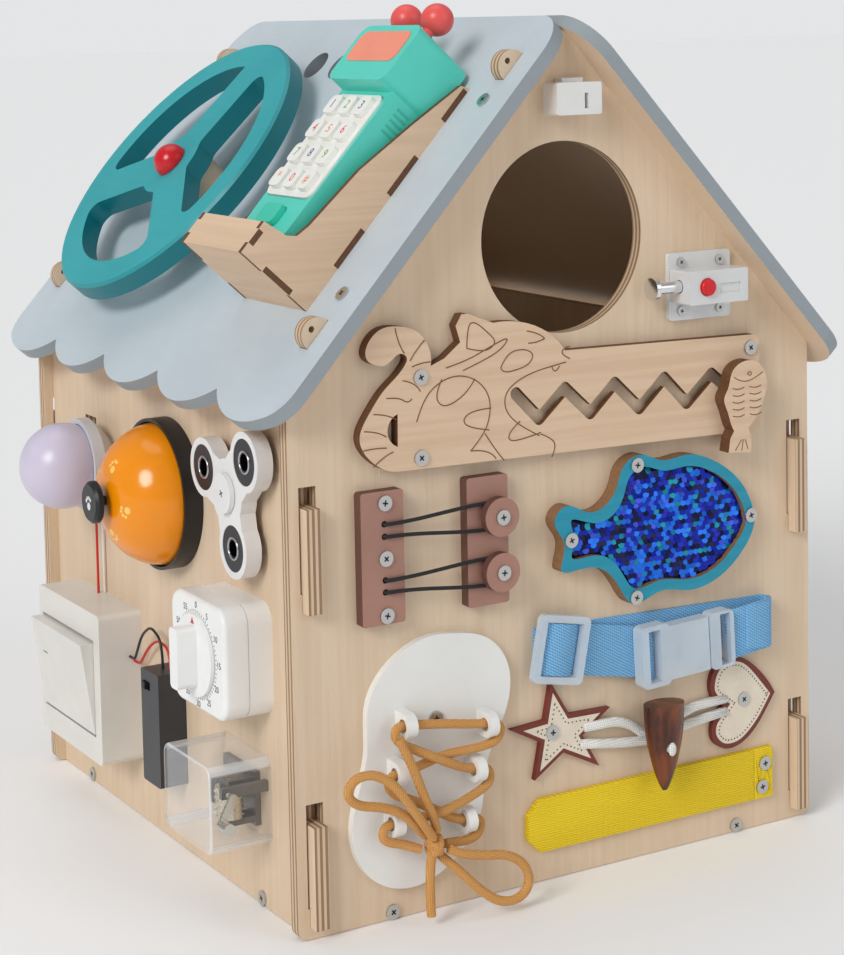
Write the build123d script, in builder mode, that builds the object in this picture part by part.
from build123d import *
from math import atan2, cos, degrees, pi, radians, sin, tan
import os

# An activity house for small children: a plywood house with busy-board toys on its panels.
# Millimetres. The front gable faces -Y, the toy-covered side wall faces -X, the roof ridge runs along Y.
# The origin is the centre of the base, on the surface that the house stands on.

os.makedirs("parts", exist_ok=True)

# Clearances and cutting overrun
overrun = 2.0
running_gap = 0.3
face_gap = 0.05
pivot_gap = 0.06

# House shell
house_width = 300.0
house_depth = 306.0
shoulder_height = 248.0
roof_pitch = 47.7
ply = 7.0
wall_inset = 6.0
wall_height = 250.0
panel_corner = 5.0
window_radius = 46.0
window_height = 312.0

# Roof panels
roof_ply = 7.0
roof_overhang = 15.5
eave_reach = 248.6
ridge_gap = 0.2
roof_corner = 22.0
scallop_count = 5
scallop_depth = 12.2
roof_tab_reaches = [39.6, 197.9]
roof_tab_length = 16.0
tab_pin_radius = 1.5
roof_screw_reaches = [60.6, 175.3]
peek_hole_reach = 40.8
peek_hole_radius = 9.0
peek_hole_places = [-42.2, -14.4]

# Hook tabs of the side walls
hook_bottoms = [14.6, 160.4]
hook_height = 39.0
hook_drop = 9.0
hook_proud = 6.0
slot_side_gap = 0.9

# Screws
screw_head_radius = 3.6
screw_head_height = 1.2
screw_shank_radius = 1.5
screw_length = 12.0
roof_screw_length = 20.0
floor_screw_places = [-101.0, 101.0]
wall_screw_places = [-105.0, 105.0]

half_width = house_width / 2
half_depth = house_depth / 2
pitch_cos = cos(radians(roof_pitch))
pitch_sin = sin(radians(roof_pitch))
apex_height = shoulder_height + half_width * tan(radians(roof_pitch))
ridge_height = apex_height + roof_ply / pitch_cos
wall_face = half_width - wall_inset
inner_face = wall_face - ply
ridge_setback = roof_ply * tan(radians(roof_pitch))

front_face = Plane(origin=(0, -half_depth, 0), x_dir=(1, 0, 0), z_dir=(0, -1, 0))
back_face = Plane(origin=(0, half_depth, 0), x_dir=(-1, 0, 0), z_dir=(0, 1, 0))
left_face = Plane(origin=(-wall_face, 0, 0), x_dir=(0, -1, 0), z_dir=(-1, 0, 0))
right_face = Plane(origin=(wall_face, 0, 0), x_dir=(0, 1, 0), z_dir=(1, 0, 0))
left_roof_top = Plane(
    origin=(0, 0, ridge_height),
    x_dir=(-pitch_cos, 0, -pitch_sin),
    z_dir=(-pitch_sin, 0, pitch_cos),
)
right_roof_top = Plane(
    origin=(0, 0, ridge_height),
    x_dir=(pitch_cos, 0, -pitch_sin),
    z_dir=(pitch_sin, 0, pitch_cos),
)


def finish(piece, label):
    "Labels a finished piece and writes it."
    piece.part.label = label
    export_step(piece.part, "parts/" + label + ".step")


def at(plane, x, y, height=0.0):
    "A plane parallel to the given one, with its origin at a local place."
    return Plane(
        origin=plane.from_local_coords(Vector(x, y, height)),
        x_dir=plane.x_dir,
        z_dir=plane.z_dir,
    )


def arc_angle(start, end):
    "The direction from one point to another, in degrees."
    return degrees(atan2(end[1] - start[1], end[0] - start[0]))


# Gable panels: hook slots near both edges, half-round tabs that stand through the roof
def gable(name, plane, with_window):
    with BuildPart() as panel:
        with BuildSketch(plane):
            with BuildLine():
                Polyline(
                    (-half_width, 0),
                    (half_width, 0),
                    (half_width, shoulder_height),
                    (0, apex_height),
                    (-half_width, shoulder_height),
                    close=True,
                )
            make_face()
            fillet(vertices().group_by(Axis.Z)[0], panel_corner)
            if with_window:
                with Locations((0, window_height)):
                    Circle(window_radius, mode=Mode.SUBTRACT)
            for side in (-1, 1):
                for bottom in hook_bottoms:
                    slot_centre = bottom + (hook_height + hook_drop) / 2
                    with Locations((side * (wall_face - ply / 2), slot_centre)):
                        Rectangle(
                            ply + 2 * slot_side_gap,
                            hook_height + hook_drop + 2 * running_gap,
                            mode=Mode.SUBTRACT,
                        )
        extrude(amount=-ply)
        # Roof tabs: a neck as thick as the roof, then a half disc with a pin hole
        for side in (-1, 1):
            for reach in roof_tab_reaches:
                along = reach - ridge_setback
                foot_x = side * along * pitch_cos
                foot_z = apex_height - along * pitch_sin
                tab_plane = Plane(
                    origin=plane.from_local_coords(Vector(foot_x, foot_z, 0)),
                    x_dir=plane.x_dir * pitch_cos - plane.y_dir * (side * pitch_sin),
                    z_dir=plane.z_dir,
                )
                with BuildSketch(tab_plane):
                    with Locations((0, (roof_ply - overrun) / 2)):
                        Rectangle(roof_tab_length, roof_ply + overrun)
                    with Locations((0, roof_ply)):
                        Circle(roof_tab_length / 2)
                    with Locations((0, roof_ply + roof_tab_length / 4)):
                        Circle(tab_pin_radius, mode=Mode.SUBTRACT)
                extrude(amount=-ply)
        for roof_plane in (left_roof_top, right_roof_top):
            edge = roof_plane.to_local_coords(plane.origin - plane.z_dir * (ply / 2)).Y
            for reach in roof_screw_reaches:
                with Locations(at(roof_plane, reach, edge, -roof_ply)):
                    Hole(screw_shank_radius + face_gap, depth=roof_screw_length)
        for x in floor_screw_places:
            with Locations(at(plane, x, ply / 2)):
                Hole(screw_shank_radius + face_gap, depth=ply)
        if with_window:
            for x, z, head in front_screws:
                with Locations(at(plane, x, z)):
                    Hole(screw_shank_radius + face_gap, depth=ply)
    finish(panel, name)
    return panel


def scaled(shares, corner, width, height):
    "Points given as shares of a size, from its lower left corner."
    return [(corner[0] + x * width, corner[1] + y * height) for x, y in shares]


# Board toys on the front panel: places are x and z on the panel's face
board_ply = 6.0
maze_corner = (-116.2, 207.5)
maze_width = 230.2
maze_height = 73.2
maze_screw_shares = [(0.14, 0.63), (0.138, 0.12), (0.9735, 0.5765)]
maze_screws = scaled(maze_screw_shares, maze_corner, maze_width, maze_height)
fish_corner = (-12.5, 130.3)
fish_width = 120.8
fish_height = 73.3
fish_screw_shares = [(0.4, 0.936), (0.0753, 0.502), (0.388, 0.0437), (0.9785, 0.4748)]
bar_screws = [(-104.2, 197.8), (-104.2, 172.1), (-104.2, 145.6)]
button_screws = [(-45.0, 184.7), (-45.0, 158.4)]
fish_frame_screws = scaled(fish_screw_shares, fish_corner, fish_width, fish_height)
patch_screws = [(-12.6, 73.5), (104.2, 69.5)]
strap_screws = [(117.5, 33.7), (115.6, 21.7)]
sole_screw = [(-78.2, 92.6)]
latch_centre = (79.5, 283.2)
latch_hole_spacing = (23.7, 24.2)

# Heights of the screw heads above the panel's face
bar_ply = 6.0
button_height = 13.0
fish_frame_height = 8.0
patch_thick = 3.0
strap_pair_height = 3.2
sole_ply = 4.0
latch_plate_thick = 2.6

latch_screws = [
    (latch_centre[0] + sx * latch_hole_spacing[0] / 2, latch_centre[1] + sz * latch_hole_spacing[1] / 2)
    for sx in (-1, 1)
    for sz in (-1, 1)
]
front_screws = (
    [(x, z, board_ply) for x, z in maze_screws]
    + [(x, z, bar_ply) for x, z in bar_screws]
    + [(x, z, button_height) for x, z in button_screws]
    + [(x, z, fish_frame_height) for x, z in fish_frame_screws]
    + [(x, z, patch_thick) for x, z in patch_screws]
    + [(x, z, strap_pair_height) for x, z in strap_screws]
    + [(x, z, sole_ply) for x, z in sole_screw]
    + [(x, z, latch_plate_thick) for x, z in latch_screws]
)

front_panel = gable("front_panel", front_face, True)
back_panel = gable("back_panel", back_face, False)

# Lamp, bell, spinner, switch, battery box, timer and music box sit on the left wall.
# Places on that wall are given towards the front and upwards.
lead_hole_place = (-92.5, 203.0)
lead_hole_size = (15.0, 6.0)


# Side walls with a hook tab at each slot
def side_wall(name, plane, with_lead_hole):
    tab_reach = ply + hook_proud
    wall_end = half_depth - ply
    with BuildPart() as wall:
        with BuildSketch(plane):
            with Locations((0, wall_height / 2)):
                Rectangle(2 * wall_end, wall_height)
            for end in (-1, 1):
                for bottom in hook_bottoms:
                    with Locations((end * (wall_end + (tab_reach - overrun) / 2), bottom + hook_height / 2)):
                        Rectangle(tab_reach + overrun, hook_height)
                    lip_bottom = bottom - hook_drop
                    lip_centre = end * (wall_end + ply + running_gap + (hook_proud - running_gap) / 2)
                    with Locations((lip_centre, (lip_bottom + bottom + hook_height) / 2)):
                        Rectangle(hook_proud - running_gap, hook_height + hook_drop)
            if with_lead_hole:
                with Locations(lead_hole_place):
                    Rectangle(*lead_hole_size, mode=Mode.SUBTRACT)
        extrude(amount=-ply)
        for place in wall_screw_places:
            with Locations(at(plane, place, ply / 2)):
                Hole(screw_shank_radius + face_gap, depth=ply)
        if with_lead_hole:
            with Locations(at(plane, *spinner_place)):
                Hole(spinner_stud_radius + face_gap, depth=ply)
    finish(wall, name)


# Spinner on the wall
spinner_place = (101.5, 199.0)
spinner_stud_radius = 2.5
spinner_arm = 26.0
spinner_lobe_radius = 14.2
spinner_lean = 13.0
spinner_thick = 8.0
spinner_standoff = 4.0
bearing_radius = 11.0
bearing_bore = 4.0
cap_radius = 9.5
cap_thick = 2.4

side_wall("left_wall", left_face, True)
side_wall("right_wall", right_face, False)

# Floor panel between the four walls
with BuildPart() as floor_panel:
    with BuildSketch():
        Rectangle(2 * inner_face, 2 * (half_depth - ply))
    extrude(amount=ply)
    for x in floor_screw_places:
        for side, plane in ((-1, front_face), (1, back_face)):
            with Locations(at(plane, x, ply / 2, -ply)):
                Hole(screw_shank_radius + face_gap, depth=screw_length)
    for place in wall_screw_places:
        for plane in (left_face, right_face):
            with Locations(at(plane, place, ply / 2, -ply)):
                Hole(screw_shank_radius + face_gap, depth=screw_length)
finish(floor_panel, "floor_panel")

# Roof panels: rounded corners at the ridge, five scallops along the eave
roof_half_length = half_depth + roof_overhang
scallop_pitch = 2 * roof_half_length / scallop_count
scallop_cusp = eave_reach - scallop_depth
roof_top_reach = ridge_setback + ridge_gap
wheel_place = (130.4, -60.0)
wheel_bolt_radius = 4.0


def roof_panel(name, plane, with_toys):
    with BuildPart() as panel:
        with BuildSketch(plane):
            with BuildLine():
                points = [(scallop_cusp, -roof_half_length + index * scallop_pitch)
                          for index in range(scallop_count + 1)]
                for start, end in zip(points, points[1:]):
                    middle = (eave_reach, (start[1] + end[1]) / 2)
                    ThreePointArc(start, middle, end)
                Polyline(
                    points[-1],
                    (roof_top_reach, roof_half_length),
                    (roof_top_reach, -roof_half_length),
                    points[0],
                )
            make_face()
            fillet(vertices().group_by(SortBy.DISTANCE)[0], roof_corner)
            for reach in roof_tab_reaches:
                for end in (-1, 1):
                    with Locations((reach, end * (half_depth - ply / 2))):
                        Rectangle(
                            roof_tab_length + 2 * running_gap,
                            ply + 2 * running_gap,
                            mode=Mode.SUBTRACT,
                        )
            if with_toys:
                with Locations(*[(peek_hole_reach, place) for place in peek_hole_places]):
                    Circle(peek_hole_radius, mode=Mode.SUBTRACT)
        extrude(amount=-roof_ply)
        ends = panel.edges().filter_by(Axis(plane.origin, plane.z_dir))
        eave_ends = [e for e in ends
                     if abs(abs(e.center().Y) - roof_half_length) < overrun
                     and plane.to_local_coords(e.center()).X > scallop_cusp - overrun]
        fillet(eave_ends, roof_corner * eave_corner_share)
        for reach in roof_screw_reaches:
            for end in (-1, 1):
                with Locations(at(plane, reach, end * (half_depth - ply / 2))):
                    Hole(screw_shank_radius + face_gap, depth=roof_ply)
        if with_toys:
            with Locations(at(plane, *wheel_place)):
                Hole(wheel_bolt_radius + face_gap, depth=roof_ply)
    finish(panel, name)


eave_corner_share = 0.8
roof_panel("left_roof", left_roof_top, True)
roof_panel("right_roof", right_roof_top, False)


# Cat maze board: its outline, its half-moon cut and its zigzag slot are shares of the board's size
maze_tail_shares = [(0.055, 0.725), (0.017, 0.818), (0.046, 0.945), (0.092, 0.963), (0.138, 0.913),
                    (0.163, 0.8), (0.165, 0.693)]
maze_back_shares = [(0.165, 0.693), (0.197, 0.731), (0.235, 0.822), (0.225, 0.93), (0.239, 0.999),
                    (0.253, 1.0), (0.314, 0.925)]
maze_head_shares = [(0.314, 0.925), (0.376, 0.915), (0.438, 0.844), (0.477, 0.745), (0.489, 0.697)]
maze_board_shares = [(0.489, 0.697), (0.986, 0.663), (1.0, 0.635), (1.0, 0.02), (0.974, 0.0),
                     (0.086, 0.052)]
maze_rump_shares = [(0.086, 0.052), (0.028, 0.13), (0.0, 0.28), (0.024, 0.443), (0.057, 0.572),
                    (0.102, 0.7), (0.11, 0.765), (0.098, 0.79), (0.078, 0.76), (0.055, 0.725)]
maze_moon_shares = [(0.087, 0.414), (0.063, 0.311), (0.086, 0.209)]
maze_slot_shares = [(0.366, 0.452), (0.422, 0.272), (0.487, 0.449), (0.55, 0.265), (0.613, 0.443),
                    (0.676, 0.255), (0.742, 0.437), (0.801, 0.249), (0.868, 0.426), (0.939, 0.246)]
slot_width = 6.2
slot_relief = 12.4
slot_relief_depth = 2.8
maze_slot = scaled(maze_slot_shares, maze_corner, maze_width, maze_height)


def slot_legs(points, width, plane, height):
    "Cuts round-ended grooves along a zigzag, up to a height above the plane."
    with BuildSketch(plane) as legs:
        for start, end in zip(points, points[1:]):
            middle = ((start[0] + end[0]) / 2, (start[1] + end[1]) / 2)
            length = (Vector(*end) - Vector(*start)).length
            with Locations(middle):
                SlotCenterToCenter(length, width, rotation=arc_angle(start, end))
    extrude(legs.sketch, amount=height, mode=Mode.SUBTRACT)


def screw_holes(places, plane, depth):
    "Clearance holes through a board that lies on a plane."
    for x, y in places:
        with Locations(at(plane, x, y, depth)):
            Hole(screw_shank_radius + face_gap, depth=depth + overrun)


with BuildPart() as maze_board:
    with BuildSketch(front_face):
        with BuildLine():
            Spline(*scaled(maze_tail_shares, maze_corner, maze_width, maze_height))
            Polyline(*scaled(maze_back_shares, maze_corner, maze_width, maze_height))
            Spline(*scaled(maze_head_shares, maze_corner, maze_width, maze_height))
            Polyline(*scaled(maze_board_shares, maze_corner, maze_width, maze_height))
            Spline(*scaled(maze_rump_shares, maze_corner, maze_width, maze_height))
        make_face()
        with BuildLine():
            moon = scaled(maze_moon_shares, maze_corner, maze_width, maze_height)
            ThreePointArc(*moon)
            Line(moon[-1], moon[0])
        make_face(mode=Mode.SUBTRACT)
    extrude(amount=board_ply)
    slot_legs(maze_slot, slot_width, front_face, board_ply)
    slot_legs(maze_slot, slot_relief, front_face, slot_relief_depth)
    screw_holes(maze_screws, front_face, board_ply)
finish(maze_board, "maze_board")

# Fish slider: a fish on the board's face, with a peg through the slot and a disc behind it
knob_width = 28.0
knob_height = 46.0
knob_thick = 7.4
knob_peg = maze_slot[-1]
knob_peg_share = 27 / 46
knob_corner = (knob_peg[0] - knob_width / 2, knob_peg[1] - knob_height * knob_peg_share)
knob_body_shares = [(0.196, 0.922), (0.421, 0.998), (0.771, 0.961), (0.943, 0.778), (0.854, 0.537),
                    (0.493, 0.254), (0.3, 0.207), (0.146, 0.311), (0.057, 0.47), (-0.014, 0.628),
                    (0.064, 0.715)]
knob_tail_shares = [(0.25, 0.3), (0.111, 0.174), (0.071, 0.024), (0.579, -0.004), (0.586, 0.161),
                    (0.5, 0.3)]
peg_radius = 2.6
peg_disc_radius = 5.5
peg_disc_thick = 1.9
with BuildPart() as fish_knob:
    with BuildSketch(front_face.offset(board_ply + running_gap)):
        with BuildLine():
            Spline(*scaled(knob_body_shares, knob_corner, knob_width, knob_height), periodic=True)
        make_face()
        with BuildLine():
            Polyline(*scaled(knob_tail_shares, knob_corner, knob_width, knob_height), close=True)
        make_face()
    extrude(amount=knob_thick)
    with BuildSketch(front_face.offset(board_ply + running_gap)):
        with Locations(knob_peg):
            Circle(peg_radius)
    extrude(amount=-board_ply)
    with BuildSketch(front_face.offset(running_gap)):
        with Locations(knob_peg):
            Circle(peg_disc_radius)
    extrude(amount=peg_disc_thick)
finish(fish_knob, "fish_knob")

# Elastic loop board: two bars, two round buttons on stems, two elastic loops
left_bar = (-105.4, 172.4)
left_bar_size = (22.4, 61.9)
right_bar = (-48.8, 172.8)
right_bar_size = (22.6, 61.4)
bar_corner = 1.5
loop_hole_x = -104.4
loop_hole_heights = [(188.0, 182.2), (162.0, 156.4)]
loop_hole_radius = 1.5
elastic_radius = 0.9
button_radius = 9.3
button_stem_radius = 5.5
button_stem_height = 2.4
with BuildPart() as elastic_bars:
    with BuildSketch(front_face):
        with Locations(left_bar):
            RectangleRounded(*left_bar_size, bar_corner)
        with Locations(right_bar):
            RectangleRounded(*right_bar_size, bar_corner)
        with Locations(*[(loop_hole_x, z) for pair in loop_hole_heights for z in pair]):
            Circle(loop_hole_radius, mode=Mode.SUBTRACT)
    extrude(amount=bar_ply)
    screw_holes(bar_screws + button_screws, front_face, bar_ply)
finish(elastic_bars, "elastic_bars")

with BuildPart() as disc_buttons:
    with BuildSketch(front_face.offset(bar_ply)):
        with Locations(*button_screws):
            Circle(button_stem_radius)
    extrude(amount=button_stem_height)
    with BuildSketch(front_face.offset(bar_ply + button_stem_height)):
        with Locations(*button_screws):
            Circle(button_radius)
    extrude(amount=button_height - bar_ply - button_stem_height)
    screw_holes(button_screws, front_face, button_height)
finish(disc_buttons, "disc_buttons")

elastic_lift = bar_ply + button_stem_height / 2
elastic_bend = 1.6
elastic_turn = button_stem_radius + elastic_radius + face_gap
elastic_foot = 2.0
with BuildPart() as elastic_loops:
    for (button_x, button_z), heights in zip(button_screws, loop_hole_heights):
        with BuildLine() as route:
            ends = []
            for z, side in zip(heights, (1, -1)):
                foot = front_face.from_local_coords(Vector(loop_hole_x, z, elastic_foot))
                knee = front_face.from_local_coords(Vector(loop_hole_x, z, elastic_lift - elastic_bend))
                bend = front_face.from_local_coords(Vector(loop_hole_x + elastic_bend, z, elastic_lift))
                reach = front_face.from_local_coords(
                    Vector(button_x, button_z + side * elastic_turn, elastic_lift))
                Line(foot, knee)
                TangentArc(knee, bend, tangent=front_face.z_dir)
                Spline(bend, reach, tangents=[front_face.x_dir, front_face.x_dir])
                ends.append(reach)
            far = front_face.from_local_coords(Vector(button_x + elastic_turn, button_z, elastic_lift))
            ThreePointArc(ends[0], far, ends[1])
        foot = front_face.from_local_coords(Vector(loop_hole_x, heights[0], elastic_foot))
        with BuildSketch(Plane(origin=foot, x_dir=front_face.x_dir, z_dir=front_face.z_dir)):
            Circle(elastic_radius)
        sweep(path=route.wires()[0])
finish(elastic_loops, "elastic_loops")

# Fish frame: three stacked layers with the sequin cloth between them
fish_outline_shares = [(1.0, 0.476), (0.93, 0.715), (0.79, 0.89), (0.647, 0.955), (0.52, 0.945),
                       (0.421, 1.0), (0.33, 0.925), (0.3, 0.8), (0.17, 0.666), (0.045, 0.727),
                       (0.0, 0.64), (0.045, 0.48), (0.03, 0.31), (0.15, 0.3), (0.291, 0.175),
                       (0.38, 0.0), (0.504, 0.055), (0.65, 0.03), (0.811, 0.08), (0.94, 0.24)]
fish_opening_shares = [(0.955, 0.476), (0.895, 0.67), (0.77, 0.825), (0.645, 0.878), (0.53, 0.872),
                       (0.43, 0.915), (0.365, 0.86), (0.335, 0.74), (0.19, 0.59), (0.08, 0.63),
                       (0.09, 0.49), (0.08, 0.385), (0.175, 0.375), (0.315, 0.245), (0.385, 0.105),
                       (0.5, 0.13), (0.645, 0.105), (0.79, 0.15), (0.9, 0.29)]
fish_cloth_height = 4.5
with BuildPart() as sequin_frame:
    with BuildSketch(front_face):
        with BuildLine():
            Spline(*scaled(fish_outline_shares, fish_corner, fish_width, fish_height), periodic=True)
        make_face()
        with BuildLine():
            Spline(*scaled(fish_opening_shares, fish_corner, fish_width, fish_height), periodic=True)
        make_face(mode=Mode.SUBTRACT)
    extrude(amount=fish_frame_height)
    screw_holes(fish_frame_screws, front_face, fish_frame_height)
finish(sequin_frame, "sequin_frame")

with BuildPart() as sequin_panel:
    with BuildSketch(front_face):
        with BuildLine():
            Spline(*scaled(fish_opening_shares, fish_corner, fish_width, fish_height), periodic=True)
        make_face()
    extrude(amount=fish_cloth_height)
finish(sequin_panel, "sequin_panel")

# Strap with a side-release buckle: a webbing layer lies on the panel, folds over at its right end and
# holds the plug; the front layer carries the slider and the buckle's socket
webbing_width = 25.0
webbing_thick = 1.4
back_webbing_end = (-21.0, 112.6)
strap_fold = (115.8, 108.4)
fold_radius = 4.6
strap_patch = (108.7, 108.5)
strap_patch_size = (14.0, 23.0)
strap_patch_thick = 1.4
buckle_axis = ((46.5, 103.6), (97.0, 106.0))
buckle_lean = arc_angle(*buckle_axis)
buckle_thick = 7.0
buckle_lift = 5.0
socket_length = 41.0
socket_width = 31.0
socket_frame_length = 17.0
socket_mouth_width = 27.0
socket_corner = 3.0
socket_slot = (7.0, 26.0)
socket_slot_in = 8.0
socket_cavity = (13.0, 21.0, 4.6)
plug_gap = 1.0
plug_length = 15.0
plug_width = 29.0
plug_slot = (6.0, 26.0)
plug_rim = 2.5
prong_reach = 11.0
prong_size = (5.0, 4.0)
prong_spread = 15.0
triglide = (-9.5, 114.5)
triglide_size = (29.0, 33.0)
triglide_opening = (21.0, 26.0)
triglide_thick = 3.6
front_webbing_lift = 3.3
webbing_hump = 4.4
front_webbing_end = (46.0, 103.5)

buckle_x = Vector(cos(radians(buckle_lean)), 0, sin(radians(buckle_lean)))
buckle_origin = front_face.from_local_coords(Vector(*buckle_axis[0], buckle_lift))
buckle_plane = Plane(origin=buckle_origin, x_dir=buckle_x, z_dir=front_face.z_dir)
socket_start = -socket_frame_length * 2 / 3
socket_mouth = socket_start + socket_length
plug_start = socket_mouth + plug_gap
plug_bar = plug_start + plug_length - plug_rim
strap_lean = arc_angle(triglide, front_webbing_end)
strap_x = Vector(cos(radians(strap_lean)), 0, sin(radians(strap_lean)))
strap_origin = front_face.from_local_coords(Vector(*triglide, front_webbing_lift + webbing_thick))
strap_plane = Plane(origin=strap_origin, x_dir=strap_x, z_dir=front_face.z_dir)


def strip(ends, width, height, thick):
    "A flat band between two places of the front panel, at a height above it."
    start = front_face.from_local_coords(Vector(*ends[0], height))
    last = front_face.from_local_coords(Vector(*ends[1], height))
    run = last - start
    middle = (start + last) * 0.5
    with BuildSketch(Plane(origin=middle, x_dir=run.normalized(), z_dir=front_face.z_dir)) as band:
        Rectangle(run.length, width)
    extrude(band.sketch, amount=thick)


def strip_to_fold(start, height):
    "A flat band from a place of the front panel to the fold, with a square end there."
    lean = radians(arc_angle(start, strap_fold))
    aside = (-sin(lean) * webbing_width / 2, cos(lean) * webbing_width / 2)
    with BuildSketch(front_face.offset(height)) as band:
        with BuildLine():
            Polyline(
                (start[0] + aside[0], start[1] + aside[1]),
                (start[0] - aside[0], start[1] - aside[1]),
                (strap_fold[0], strap_fold[1] - webbing_width / 2),
                (strap_fold[0], strap_fold[1] + webbing_width / 2),
                close=True,
            )
        make_face()
    extrude(band.sketch, amount=webbing_thick)


def webbing_bend(plane, half_length, rise):
    "Webbing that rises through a frame over its bar."
    side = Plane(origin=plane.origin, x_dir=plane.x_dir, z_dir=-plane.y_dir)
    with BuildSketch(side) as bend:
        with BuildLine():
            ThreePointArc((-half_length, 0), (0, rise), (half_length, 0))
            Polyline((half_length, 0), (half_length, -webbing_thick), (-half_length, -webbing_thick),
                     (-half_length, 0))
        make_face()
    extrude(bend.sketch, amount=webbing_width / 2, both=True)


with BuildPart() as webbing_fixed:
    strip_to_fold(back_webbing_end, 0)
    fold_origin = front_face.from_local_coords(Vector(*strap_fold, fold_radius))
    with BuildSketch(Plane(origin=fold_origin, x_dir=front_face.x_dir, z_dir=(0, 0, 1))):
        Circle(fold_radius)
        Circle(fold_radius - webbing_thick, mode=Mode.SUBTRACT)
        with Locations((-fold_radius / 2, 0)):
            Rectangle(fold_radius, 2 * fold_radius, mode=Mode.SUBTRACT)
    extrude(amount=webbing_width / 2, both=True)
    top_height = 2 * fold_radius - webbing_thick
    bar_place = front_face.to_local_coords(at(buckle_plane, plug_bar, 0).origin)
    strip_to_fold((bar_place.X, bar_place.Y), top_height)
    with BuildSketch(front_face.offset(2 * fold_radius)):
        with Locations(strap_patch):
            RectangleRounded(*strap_patch_size, bar_corner)
    extrude(amount=strap_patch_thick)
finish(webbing_fixed, "webbing_fixed")

with BuildPart() as webbing_front:
    strip((triglide, front_webbing_end), webbing_width, front_webbing_lift, webbing_thick)
    webbing_bend(strap_plane, triglide_opening[0] / 2 - running_gap, webbing_hump)
    slot_height = front_webbing_lift + webbing_thick - buckle_lift
    slot_plane = at(buckle_plane, socket_start + socket_slot_in, 0, slot_height)
    slot_half = socket_slot[0] / 2 - running_gap
    webbing_bend(slot_plane, slot_half, slot_half)
finish(webbing_front, "webbing_front")

with BuildPart() as buckle_socket:
    with BuildSketch(buckle_plane):
        with Locations((socket_start + socket_frame_length / 2, 0)):
            RectangleRounded(socket_frame_length, socket_width, socket_corner)
        with Locations((socket_mouth - socket_length / 3, 0)):
            Rectangle(socket_length * 2 / 3, socket_mouth_width)
        with Locations((socket_start + socket_slot_in, 0)):
            Rectangle(*socket_slot, mode=Mode.SUBTRACT)
    extrude(amount=buckle_thick)
    with Locations(at(buckle_plane, socket_mouth - socket_cavity[0] / 2, 0, buckle_thick / 2)):
        Box(socket_cavity[0] + face_gap, socket_cavity[1], socket_cavity[2], mode=Mode.SUBTRACT)
    with BuildSketch(strap_plane.offset(running_gap)):
        RectangleRounded(*triglide_size, socket_corner)
        Rectangle(*triglide_opening, mode=Mode.SUBTRACT)
    extrude(amount=triglide_thick)
finish(buckle_socket, "buckle_socket")

with BuildPart() as buckle_plug:
    with BuildSketch(buckle_plane):
        with Locations((plug_start + plug_length / 2, 0)):
            RectangleRounded(plug_length, plug_width, socket_corner)
        with Locations((plug_bar - plug_slot[0] / 2, 0)):
            Rectangle(*plug_slot, mode=Mode.SUBTRACT)
    extrude(amount=buckle_thick)
    for side in (-1, 0, 1):
        prong_place = at(buckle_plane, plug_start - prong_reach / 2, side * prong_spread / 2,
                         buckle_thick / 2)
        with Locations(prong_place):
            Box(prong_reach + overrun, *prong_size)
    add(webbing_fixed.part, mode=Mode.SUBTRACT)
finish(buckle_plug, "buckle_plug")

# Toggle fastener: star and heart patches, cords, horn toggle that swings on its cord
star_corner = (-36.2, 51.5)
star_size = (57.9, 46.6)
star_shares = [(0.404, 1.0), (0.587, 0.622), (1.0, 0.609), (0.717, 0.365), (0.883, 0.004), (0.52, 0.23),
               (0.23, 0.0), (0.297, 0.386), (0.0, 0.582), (0.34, 0.609)]
heart_corner = (83.7, 45.9)
heart_size = (41.2, 46.5)
heart_upper_shares = [(0.2, 0.475), (0.03, 0.6), (0.0, 0.75), (0.1, 0.93), (0.33, 1.0), (0.6, 0.91),
                      (1.0, 0.508)]
heart_lower_shares = [(1.0, 0.508), (0.75, 0.21), (0.471, 0.019), (0.2, 0.0), (0.03, 0.13), (0.03, 0.3),
                      (0.2, 0.475)]
cord_radius = 2.4
cord_lift = 2.7
toggle_eye = (47.0, 58.7)
toggle_lift = 13.0
toggle_bore = 3.0
toggle_top = 21.3
toggle_half_width = 11.3
toggle_half_depth = 7.4
# Each section: distance above the eye and width, as shares of the size above the eye and half width
toggle_section_shares = [(1.0, 1.0), (0.5, 0.96), (0.0, 0.82), (-0.5, 0.57), (-0.88, 0.3), (-1.05, 0.12)]
star_strands = [((6.0, 72.4), (30.0, 72.0)), ((4.0, 64.6), (24.0, 61.0))]
heart_strands = [((93.0, 71.6), (68.0, 71.0)), ((93.0, 65.0), (68.0, 62.8))]
with BuildPart() as leather_patches:
    with BuildSketch(front_face):
        with BuildLine():
            Polyline(*scaled(star_shares, star_corner, *star_size), close=True)
        make_face()
        with BuildLine():
            Spline(*scaled(heart_upper_shares, heart_corner, *heart_size))
            Spline(*scaled(heart_lower_shares, heart_corner, *heart_size))
        make_face()
    extrude(amount=patch_thick)
    screw_holes(patch_screws, front_face, patch_thick)
finish(leather_patches, "leather_patches")

with BuildPart() as toggle_horn:
    for rise_share, width_share in toggle_section_shares:
        section_point = front_face.from_local_coords(
            Vector(toggle_eye[0], toggle_eye[1] + rise_share * toggle_top, toggle_lift))
        with BuildSketch(Plane(origin=section_point, x_dir=front_face.x_dir, z_dir=(0, 0, -1))):
            Ellipse(toggle_half_width * width_share, toggle_half_depth * width_share)
    loft()
    with Locations(at(front_face, *toggle_eye, toggle_lift + toggle_half_depth)):
        Hole(toggle_bore, depth=2 * toggle_half_depth)
finish(toggle_horn, "toggle_horn")

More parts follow.
